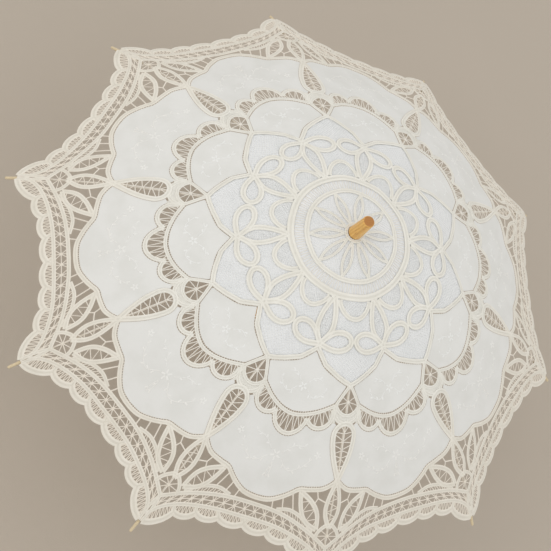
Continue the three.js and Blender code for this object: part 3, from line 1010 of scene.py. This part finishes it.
class Bench:
    """Adds and joins the nodes of one finish."""

    def __init__(self, name: str, rough: float, **fixed: float) -> None:
        """Starts a finish.

        Args:
            name: the finish's name.
            rough: its roughness.
            **fixed: other shader settings, with a space in a socket's name written as _.
        """
        self.made = bpy.data.materials.new(name)
        self.made.use_nodes = True
        self.tree = self.made.node_tree
        self.shader = self.tree.nodes["Principled BSDF"]
        self.shader.inputs["Roughness"].default_value = rough
        for key, value in fixed.items():
            self.shader.inputs[key.replace("_", " ")].default_value = value

    def node(self, kind: str, *values: object, out: int | str = 0, **settings: object) -> Socket:
        """Adds a node.

        Args:
            kind: the node's type, without its ShaderNode.
            *values: what its inputs take in turn: a socket, a value, or None.
            out: which of its outputs is wanted.
            **settings: its own settings.

        Returns:
            The output.
        """
        made = self.tree.nodes.new("ShaderNode" + kind)
        for key, value in settings.items():
            setattr(made, key, value)
        for socket, value in zip(made.inputs, values):
            if isinstance(value, Socket):
                self.tree.links.new(value, socket)
            elif value is not None:
                socket.default_value = value
        return made.outputs[out]

    def math(self, operation: str, a: object, b: object = 0.0) -> Socket:
        """Returns the result of a sum on two values."""
        return self.node("Math", a, b, operation=operation)

    def place(self) -> Socket:
        """Returns the point on the object, in metres."""
        return self.node("TexCoord", out="Object")

    def weave(self) -> tuple:
        """Returns the two coordinates that run along and across a textile piece, in millimetres."""
        made = self.tree.nodes.new("ShaderNodeSeparateXYZ")
        self.tree.links.new(self.node("UVMap", uv_map="Weave"), made.inputs[0])
        return made.outputs[0], made.outputs[1]

    def stretched(self, source: Socket, scale: tuple) -> Socket:
        """Returns a point scaled along its three axes."""
        return self.node("VectorMath", source, scale, operation="MULTIPLY")

    def noise(self, source: Socket, scale: float, detail: float = 3.0) -> Socket:
        """Adds soft noise.

        Args:
            source: the point that it is read at.
            scale: how fine it is.
            detail: how many finer layers it has.

        Returns:
            Its value, from 0 to 1.
        """
        made = self.tree.nodes.new("ShaderNodeTexNoise")
        self.tree.links.new(source, made.inputs["Vector"])
        made.inputs["Scale"].default_value = scale
        made.inputs["Detail"].default_value = detail
        return made.outputs[0]

    def steps(self, value: Socket, low: float, high: float) -> Socket:
        """Returns 0 below low, 1 above high and a smooth rise between them."""
        return self.node("MapRange", value, low, high, 0.0, 1.0, interpolation_type="SMOOTHSTEP")

    def wave(self, value: Socket, length: float) -> Socket:
        """Returns a wave between 0 and 1 with that length."""
        sine = self.math("SINE", self.math("MULTIPLY", value, 2 * math.pi / length))
        return self.node("Math", sine, 0.5, 0.5, operation="MULTIPLY_ADD")

    def mix(self, share: Socket, a: object, b: object) -> Socket:
        """Returns a colour between a and b."""
        return self.node("MixRGB", share, a, b)

    def aged(self, tone: Socket) -> Socket:
        """Returns the tone a little yellowed towards the canopy's rim."""
        plan = self.stretched(self.place(), (1.0, 1.0, 0.0))
        reach = self.node("VectorMath", plan, operation="LENGTH", out="Value")
        return self.node("MixRGB", self.steps(reach, *YELLOWED), tone, YELLOW, blend_type="MULTIPLY")

    def finish(self, colour: Socket, height: Socket, relief: float, rough: Socket | None = None) -> Material:
        """Joins the colour and the relief to the shader.

        Args:
            colour: the base colour's socket.
            height: the relief's socket, from 0 to 1.
            relief: how high the relief stands, in metres.
            rough: the roughness's socket, where it varies.

        Returns:
            The material.
        """
        bump = self.tree.nodes.new("ShaderNodeBump")
        bump.inputs["Distance"].default_value = relief
        self.tree.links.new(height, bump.inputs["Height"])
        self.tree.links.new(bump.outputs[0], self.shader.inputs["Normal"])
        self.tree.links.new(colour, self.shader.inputs["Base Color"])
        if rough is not None:
            self.tree.links.new(rough, self.shader.inputs["Roughness"])
        return self.made


@dataclass(frozen=True)
class PlainWeave:
    """Fine white cotton in plain weave, with slubs and faint clouds of tone.

    Attributes:
        name: the finish's name.
        colour: its main colour.
        shade: the tone of its clouds.
        pitch: the distance between threads, in millimetres.
        relief: the height of the weave, in metres.
    """

    name: str
    colour: tuple
    shade: tuple
    pitch: float = 0.62
    relief: float = 0.00006

    def material(self) -> Material:
        """Builds the material."""
        b = Bench(self.name, 0.86, Sheen_Weight=0.22, Sheen_Roughness=0.45, Specular_IOR_Level=0.25)
        x, y = b.weave()
        grain = b.math("MULTIPLY", b.wave(x, self.pitch), b.wave(y, self.pitch))
        flat = b.node("CombineXYZ", x, y, 0.0)
        slub = b.noise(b.stretched(flat, (0.12, 1.6, 1.0)), 1.0, 2.0)
        slub2 = b.noise(b.stretched(flat, (1.6, 0.12, 1.0)), 1.0, 2.0)
        lines = b.math("MULTIPLY", slub, slub2)
        cloud = b.noise(b.place(), 32.0, 4.0)
        tone = b.mix(b.steps(cloud, 0.35, 0.7), self.colour, self.shade)
        tone = b.mix(b.math("MULTIPLY", b.steps(lines, 0.2, 0.42), 0.35), tone, self.shade)
        height = b.math("ADD", b.math("MULTIPLY", grain, 0.5), b.math("MULTIPLY", lines, 1.6))
        return b.finish(tone, height, self.relief)


@dataclass(frozen=True)
class WovenTape:
    """Cotton lace tape: two corded edges with an open ladder between them.

    Attributes:
        name: the finish's name.
        colour: the cords' colour.
        gap: the tone of its random clouds, and the painted shade down in the ladder.
        cord: the length of one twist of the cords, in millimetres.
        rung: the distance between the ladder's rungs, in millimetres.
    """

    name: str
    colour: tuple
    gap: tuple
    cord: float = 1.5
    rung: float = 1.25

    def material(self) -> Material:
        """Builds the material."""
        b = Bench(self.name, 0.82, Sheen_Weight=0.25, Sheen_Roughness=0.4, Specular_IOR_Level=0.25)
        along, across = b.weave()
        slant = b.math("ADD", along, b.math("MULTIPLY", across, 4.0))
        twist = b.wave(slant, self.cord)
        middle = b.math("SUBTRACT", 1.0, b.steps(b.math("ABSOLUTE", across), 0.10, 0.22))
        rungs = b.steps(b.wave(along, self.rung), 0.35, 0.7)
        hollow = b.math("MULTIPLY", middle, b.math("SUBTRACT", 1.0, rungs))
        fuzz = b.noise(b.place(), 900.0, 2.0)
        cloud = b.steps(b.noise(b.place(), 45.0, 3.0), 0.35, 0.75)
        tone = b.mix(b.math("MULTIPLY", cloud, 0.4), self.colour, self.gap)
        # painted shade: the colour darkens towards gap down in the open ladder between the cords
        tone = b.mix(b.math("MULTIPLY", hollow, 0.8), tone, self.gap)
        height = b.math("ADD", b.math("MULTIPLY", twist, 0.6), b.math("MULTIPLY", fuzz, 0.7))
        height = b.math("SUBTRACT", height, hollow)
        return b.finish(b.aged(tone), height, 0.00018)


@dataclass(frozen=True)
class TwistedThread:
    """Twisted cotton thread.

    Attributes:
        name: the finish's name.
        colour: its lit colour.
        shade: the painted shade between its strands.
        twist: the length of one turn, in millimetres.
    """

    name: str
    colour: tuple
    shade: tuple
    twist: float = 1.1

    def material(self) -> Material:
        """Builds the material."""
        b = Bench(self.name, 0.78, Sheen_Weight=0.25, Sheen_Roughness=0.4, Specular_IOR_Level=0.3)
        along, around = b.weave()
        strand = b.wave(b.math("ADD", along, b.math("MULTIPLY", around, self.twist)), self.twist)
        fuzz = b.noise(b.place(), 1200.0, 2.0)
        # painted shade: the strand wave darkens the colour towards shade in the grooves between the strands
        tone = b.mix(b.math("MULTIPLY", strand, 0.5), self.colour, self.shade)
        return b.finish(b.aged(tone), b.math("ADD", strand, b.math("MULTIPLY", fuzz, 0.5)), 0.00012)


@dataclass(frozen=True)
class TurnedWood:
    """Turned wood with year rings, long grain and fine pores under a thin varnish.

    Attributes:
        name: the finish's name.
        pale: its lightest grain.
        deep: its darkest grain.
        end: the colour of its end grain.
        ring: the distance between year rings, in metres.
        coat: how much varnish it has.
    """

    name: str
    pale: tuple
    deep: tuple
    end: tuple
    ring: float = 0.0022
    coat: float = 0.35

    def material(self) -> Material:
        """Builds the material."""
        b = Bench(self.name, 0.42, Coat_Weight=self.coat, Coat_Roughness=0.22)
        place = b.place()
        long = b.stretched(place, (1.0, 1.0, 0.07))
        warp = b.noise(long, 60.0, 3.0)
        shifted = b.node("VectorMath", place, (0.011, -0.006, 0.0), operation="ADD")
        cone = b.stretched(shifted, (1.0, 1.0, 0.02))
        reach = b.node("VectorMath", cone, operation="LENGTH", out="Value")
        rings = b.wave(b.math("ADD", reach, b.math("MULTIPLY", warp, 0.004)), self.ring)
        fibre = b.noise(b.stretched(place, (1.0, 1.0, 0.03)), 900.0, 2.0)
        pores = b.steps(b.noise(b.stretched(place, (1.0, 1.0, 0.06)), 1500.0, 1.0), 0.62, 0.72)
        tone = b.mix(b.math("MULTIPLY", rings, 0.55), self.pale, self.deep)
        tone = b.mix(b.math("MULTIPLY", b.steps(fibre, 0.4, 0.7), 0.35), tone, self.deep)
        tone = b.mix(b.math("MULTIPLY", pores, 0.5), tone, self.end)
        facing = b.node("SeparateXYZ", b.node("TexCoord", out="Normal"), out="Z")
        tone = b.mix(b.math("MULTIPLY", b.steps(facing, 0.7, 0.98), 0.8), tone, self.end)
        height = b.math("SUBTRACT", b.math("ADD", fibre, b.math("MULTIPLY", rings, 0.4)), pores)
        rough = b.node("MapRange", fibre, 0.3, 0.7, 0.36, 0.52)
        return b.finish(tone, height, 0.00008, rough)


@dataclass(frozen=True)
class Enamel:
    """White enamel on steel, a little uneven, yellowed and dulled where it is handled.

    Attributes:
        name: the finish's name.
        colour: its main colour.
        worn: its colour where it is dull.
    """

    name: str
    colour: tuple
    worn: tuple

    def material(self) -> Material:
        """Builds the material."""
        b = Bench(self.name, 0.34, Coat_Weight=0.2, Coat_Roughness=0.3)
        patch = b.steps(b.noise(b.place(), 70.0, 5.0), 0.5, 0.72)
        peel = b.noise(b.place(), 1400.0, 2.0)
        specks = b.steps(b.noise(b.place(), 520.0, 2.0), 0.68, 0.76)
        tone = b.mix(b.math("MULTIPLY", patch, 0.6), self.colour, self.worn)
        tone = b.mix(b.math("MULTIPLY", specks, 0.4), tone, self.worn)
        rough = b.node("MapRange", patch, 0.0, 1.0, 0.3, 0.5)
        return b.finish(tone, peel, 0.00004, rough)


@dataclass(frozen=True)
class BrightSteel:
    """Drawn steel wire and spring strip.

    Attributes:
        name: the finish's name.
        colour: its colour.
        tarnish: its colour where it has dulled.
    """

    name: str
    colour: tuple
    tarnish: tuple

    def material(self) -> Material:
        """Builds the material."""
        b = Bench(self.name, 0.3, Metallic=1.0)
        drawn = b.noise(b.stretched(b.place(), (1.0, 1.0, 0.05)), 1600.0, 2.0)
        dull = b.steps(b.noise(b.place(), 160.0, 3.0), 0.45, 0.75)
        tone = b.mix(b.math("MULTIPLY", dull, 0.6), self.colour, self.tarnish)
        rough = b.node("MapRange", dull, 0.0, 1.0, 0.22, 0.45)
        return b.finish(tone, drawn, 0.00003, rough)


class Finish(Enum):
    """The finishes of the parasol, under the names of the record's material slots."""

    PETAL = "lace_cloth"
    LINING = "lace_lining"
    TAPE = "lace_tape"
    THREAD = "lace_thread"
    NET = "lace_net"
    SILK = "lace_silk"
    HONEY = "honey_wood"
    PALE = "pale_wood"
    ENAMEL = "white_enamel"
    STEEL = "bright_steel"


RECIPES = {
    Finish.PETAL: PlainWeave("cotton_lawn", tint(235, 234, 230), tint(229, 228, 223)),
    Finish.LINING: PlainWeave("cotton_voile", tint(240, 240, 240), tint(232, 233, 233), 0.9, 0.0001),
    # the tape's second colour is its clouds' tone and the painted shade down in its ladder
    Finish.TAPE: WovenTape("lace_tape", tint(244, 241, 232), tint(229, 225, 213)),
    # each thread finish's second colour is the painted shade between its strands
    Finish.THREAD: TwistedThread("lace_thread", tint(250, 246, 238), tint(232, 225, 211)),
    Finish.NET: TwistedThread("net_thread", tint(251, 251, 249), tint(242, 242, 240)),
    Finish.SILK: TwistedThread("embroidery_thread", tint(248, 248, 245), tint(238, 238, 234)),
    Finish.HONEY: TurnedWood("honey_wood", tint(241, 191, 102), tint(212, 153, 72), tint(167, 101, 40)),
    Finish.PALE: TurnedWood(
        "pale_wood", tint(232, 216, 182), tint(214, 192, 152), tint(190, 160, 118), ring=0.0015, coat=0.1
    ),
    Finish.ENAMEL: Enamel("white_enamel", tint(238, 231, 219), tint(214, 203, 184)),
    Finish.STEEL: BrightSteel("bright_steel", tint(206, 206, 204), tint(150, 146, 138)),
}


class Wardrobe:
    """Builds each finish once and puts it on pieces."""

    def __init__(self) -> None:
        """Builds every finish."""
        self.made = {finish: recipe.material() for finish, recipe in RECIPES.items()}

    def dress(self, piece: bpy.types.Object, finish: Finish) -> None:
        """Gives a new piece its finish."""
        piece.data.materials.clear()
        piece.data.materials.append(self.made[finish])

    def dress_node(self, node: bpy.types.Object, finish: Finish) -> None:
        """Puts a finish in a CAD node's own slots."""
        for slot in node.material_slots:
            slot.material = self.made[finish]


# The canopy


@dataclass
class Canopy:
    """The lace canopy: ten units, each on its rib.

    Attributes:
        dome: the surface that it is stretched over.
        keep: not used; the share of its width that a unit would keep when the parasol is shut.
        pleat_height: not used; height of the point that a unit would fold towards, in metres.
        petals_wide: not used; width of a unit's cut petals, in metres.
        lining_wide: not used; width of a unit's cut lining, in metres.
    """

    dome: Dome = field(default_factory=Dome)
    keep: float = 0.1
    pleat_height: float = 0.365
    petals_wide: float = 0.198
    lining_wide: float = 0.116

    def build(self, wardrobe: Wardrobe) -> None:
        """Draws the unit once and lays a copy over each rib.

        Args:
            wardrobe: where the finishes come from.
        """
        unit = LaceUnit()
        unit.draw()
        layers = {
            "petals": (unit.petals, Finish.PETAL),
            "lining": (unit.lining, Finish.LINING),
            "tape": (unit.tapes, Finish.TAPE),
            "thread": (unit.threads, Finish.THREAD),
            "net": (unit.nets, Finish.NET),
            "sprigs": (unit.sprigs, Finish.SILK),
        }
        for k in range(RIBS):
            mark = f"{k + 1:02d}"
            made = {}
            for name, (pattern, finish) in layers.items():
                piece = pattern.draped(f"{name}_{mark}", self.dome, k * TURN)
                wardrobe.dress(piece, finish)
                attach(piece, f"rib_{mark}")
                made[name] = piece
            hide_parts(f"canopy_{mark}")
            for piece in made.values():
                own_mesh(piece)
        log.info("canopy: %d units of %d faces", RIBS, sum(len(p.faces) for p, _ in layers.values()))


@dataclass
class Rosette:
    """The ring of tape round the ferrule and the collar that joins the lace to the crown.

    Attributes:
        ring: radius of its tape, in millimetres.
        wide: width of its tape.
        spokes: inner and outer radius of the stitches over the tape.
        lean: how far each stitch slants, as an angle.
    """

    ring: float = 11.3
    wide: float = 4.6
    spokes: tuple = (9.0, 13.8)
    lean: float = 0.12

    def build(self, wardrobe: Wardrobe, dome: Dome) -> None:
        """Builds the rosette.

        Args:
            wardrobe: where its finish comes from.
            dome: the surface that it lies on.
        """
        drawn = Pattern()
        circle = np.linspace(0, 2 * math.pi, 49)[:-1]
        drawn.tape(polar(self.ring, circle), self.wide, 1.3, ring=True)
        near, far = self.spokes
        for k in range(2 * RIBS):
            drawn.thread([polar(near, k * HALF), polar(far, k * HALF + self.lean)], 0.5, 1.9)
        collar = np.column_stack([COLLAR_SECTION, COLLAR_SECTION[:, 0] / 5])
        drawn.sweep(polar(self.ring, circle), collar, 0.0, ring=True)
        piece = drawn.draped("rosette", dome, 0.0)
        wardrobe.dress(piece, Finish.TAPE)
        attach(piece, "frame")
        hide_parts("canopy_cap")
        log.info("rosette: built")


# The wooden and metal parts


def turned_piece(name: str, rings: Sequence, sides: int = 72) -> bpy.types.Object:
    """Turns a solid on the shaft's axis, as on a lathe.

    Args:
        name: the piece's name.
        rings: rows of height and radius, in millimetres, from the bottom up.
        sides: how many sides it has.

    Returns:
        The piece, with its place in its mesh.
    """
    bpy.ops.object.select_all(action="DESELECT")
    height, radius = rings[0]
    bpy.ops.mesh.primitive_circle_add(
        vertices=sides, radius=radius * MM, fill_type="NGON", location=(0, 0, height * MM)
    )
    piece = bpy.context.object
    piece.name = name
    bpy.ops.object.transform_apply(location=True, rotation=True, scale=True)
    bpy.ops.object.mode_set(mode="EDIT")
    bpy.ops.mesh.select_all(action="SELECT")
    for next_height, next_radius in rings[1:]:
        bpy.ops.mesh.extrude_region_move(
            TRANSFORM_OT_translate={"value": (0, 0, (next_height - height) * MM)}
        )
        share = next_radius / radius
        bpy.ops.transform.resize(value=(share, share, 1), center_override=(0, 0, next_height * MM))
        height, radius = next_height, next_radius
    bpy.ops.mesh.select_all(action="SELECT")
    bpy.ops.mesh.remove_doubles(threshold=MERGED)
    bpy.ops.mesh.normals_make_consistent(inside=False)
    bpy.ops.object.mode_set(mode="OBJECT")
    bpy.ops.object.shade_smooth_by_angle(angle=math.radians(38))
    return piece


def rounded(top: float, out: float, radius: float, steps: int = 6) -> list:
    """Returns a quarter-round edge between a side and a top face.

    Args:
        top: the height of the face.
        out: the side's radius where it would meet the face.
        radius: the radius of the round.
        steps: how many facets it has.

    Returns:
        Rows of height and radius.
    """
    angles = np.linspace(0, math.pi / 2, steps)
    return [(top - radius + radius * math.sin(a), out - radius + radius * math.cos(a)) for a in angles]


@dataclass
class Ferrule:
    """The round wooden ferrule on top of the canopy.

    Attributes:
        base: radius of its foot, in millimetres.
        top: radius of its top.
        edge: radius of the round on its top edge.
        foot: height and width of the bevel under its foot.
        core: radius of the small flat in the middle of its top.
    """

    base: float = 9.3
    top: float = 7.7
    edge: float = 2.0
    foot: float = 0.5
    core: float = 2.0

    def build(self, wardrobe: Wardrobe) -> None:
        """Turns the ferrule and puts it in place of the plain one.

        Args:
            wardrobe: where its finish comes from.
        """
        side = [(FERRULE_BASE, self.base - self.foot), (FERRULE_BASE + self.foot, self.base)]
        face = [(FERRULE_TOP, self.core)]
        piece = turned_piece("ferrule_turned", [*side, *rounded(FERRULE_TOP, self.top, self.edge), *face])
        wardrobe.dress(piece, Finish.HONEY)
        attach(piece, "frame")
        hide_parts("ferrule")
        log.info("ferrule: turned")


class Fittings:
    """The shaft, the handle, the ribs, the stretchers and their fittings, kept in shape and dressed."""

    finishes = {
        "rib": Finish.ENAMEL,
        "stretcher": Finish.ENAMEL,
        "rib_tip": Finish.PALE,
        "rivet": Finish.STEEL,
        "crown": Finish.PALE,
        "runner": Finish.PALE,
        "handle": Finish.HONEY,
        "shaft": Finish.HONEY,
    }

    def build(self, wardrobe: Wardrobe) -> None:
        """Dresses a smooth-shaded copy of each hard part, and the wires and catches as they are.

        Args:
            wardrobe: where the finishes come from.
        """
        for name, node in frame["nodes"].items():
            kind = name.rstrip("0123456789").rstrip("_")
            if kind in self.finishes:
                self.smooth(name, node, self.finishes[kind], wardrobe)
            elif not node.hide_render:
                wardrobe.dress_node(node, Finish.STEEL)
        log.info("fittings: dressed")

    def smooth(self, name: str, node: bpy.types.Object, finish: Finish, wardrobe: Wardrobe) -> None:
        """Dresses a merged, smooth-shaded copy of a node.

        Args:
            name: the node's name.
            node: its object.
            finish: the copy's finish.
            wardrobe: where the finish comes from.
        """
        piece = bpy.data.objects.new(f"{name}_finished", node.data.copy())
        bpy.context.scene.collection.objects.link(piece)
        bpy.ops.object.select_all(action="DESELECT")
        bpy.context.view_layer.objects.active = piece
        piece.select_set(True)
        bpy.ops.object.mode_set(mode="EDIT")
        bpy.ops.mesh.select_all(action="SELECT")
        bpy.ops.mesh.remove_doubles(threshold=MERGED)
        bpy.ops.mesh.dissolve_limited(angle_limit=math.radians(1.0))
        bpy.ops.object.mode_set(mode="OBJECT")
        bpy.ops.object.shade_smooth_by_angle(angle=math.radians(42))
        wardrobe.dress(piece, finish)
        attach(piece, node["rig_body"])
        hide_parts(name)


# The studio


@dataclass(frozen=True)
class Softbox:
    """A large square light that faces the canopy.

    Attributes:
        name: its name.
        place: where it hangs.
        power: its power in watts.
        size: the length of its sides.
    """

    name: str
    place: tuple
    power: float
    size: float = 2.4

    def hang(self) -> None:
        """Hangs the light."""
        light = bpy.data.lights.new(self.name, "AREA")
        light.size, light.energy = self.size, self.power
        light.color = (1.0, 0.995, 0.98)
        holder = bpy.data.objects.new(self.name, light)
        holder.location = self.place
        way = Vector((0, 0, 0.4)) - Vector(self.place)
        holder.rotation_euler = way.to_track_quat("-Z", "Y").to_euler()
        bpy.context.scene.collection.objects.link(holder)


@dataclass
class Studio:
    """The floor, the soft light and the camera.

    Attributes:
        eye: the camera's place.
        ahead: the way that it looks.
        roll: how far it is rolled, in degrees.
        lens: its lens in millimetres, on a 36 mm sensor.
        floor: the floor's colour.
        mottle: the tone of the floor's soft patches.
        sky: the even light's colour.
        glow: the even light's strength.
        lights: the key light and the fill.
    """

    eye: tuple = (0.0345, -0.933, 2.039)
    ahead: tuple = (-0.0293, 0.4729, -0.8806)
    roll: float = 49.8
    lens: float = 93.17
    floor: tuple = tint(193, 181, 167)
    mottle: tuple = tint(188, 177, 162)
    sky: tuple = (1.0, 0.998, 0.99, 1.0)
    glow: float = 0.755
    lights: tuple = (Softbox("key", (-1.5, -1.2, 2.5), 15.0), Softbox("fill", (1.6, 0.6, 2.3), 6.0))

    def build(self) -> None:
        """Builds the floor, the lights and the camera."""
        self.lay_floor()
        self.light_up()
        self.set_camera()
        log.info("studio: ready")

    def lay_floor(self) -> None:
        """Lays a plain pale floor under the handle."""
        bpy.ops.object.select_all(action="DESELECT")
        bpy.ops.mesh.primitive_plane_add(size=12.0, location=(0, 0, cad_low.z))
        floor = bpy.context.object
        floor.name = "floor"
        b = Bench("floor", 0.9)
        tone = b.mix(b.noise(b.place(), 3.0, 2.0), self.floor, self.mottle)
        floor.data.materials.append(b.finish(tone, b.noise(b.place(), 700.0, 2.0), 0.0002))

    def light_up(self) -> None:
        """Sets the even sky and hangs the lights."""
        world = bpy.data.worlds.new("studio")
        world.use_nodes = True
        sky = world.node_tree.nodes["Background"]
        sky.inputs["Color"].default_value = self.sky
        sky.inputs["Strength"].default_value = self.glow
        bpy.context.scene.world = world
        for light in self.lights:
            light.hang()

    def set_camera(self) -> None:
        """Sets the camera at its place, looking down on the open canopy."""
        camera = bpy.data.cameras.new("camera")
        camera.lens, camera.sensor_width = self.lens, 36.0
        holder = bpy.data.objects.new("camera", camera)
        look = Vector(self.ahead).to_track_quat("-Z", "Y").to_matrix()
        spin = Matrix.Rotation(math.radians(self.roll), 3, "Z")
        holder.matrix_world = Matrix.Translation(self.eye) @ (look @ spin).to_4x4()
        bpy.context.scene.collection.objects.link(holder)
        bpy.context.scene.camera = holder
        bpy.context.scene.view_settings.view_transform = "Standard"


def main() -> None:
    """Builds the parasol and its studio."""
    logging.basicConfig(level=logging.INFO, format="%(message)s")
    wardrobe = Wardrobe()
    Studio().build()
    canopy = Canopy()
    canopy.build(wardrobe)
    Rosette().build(wardrobe, canopy.dome)
    Ferrule().build(wardrobe)
    Fittings().build(wardrobe)


if __name__ == "__main__":
    main()
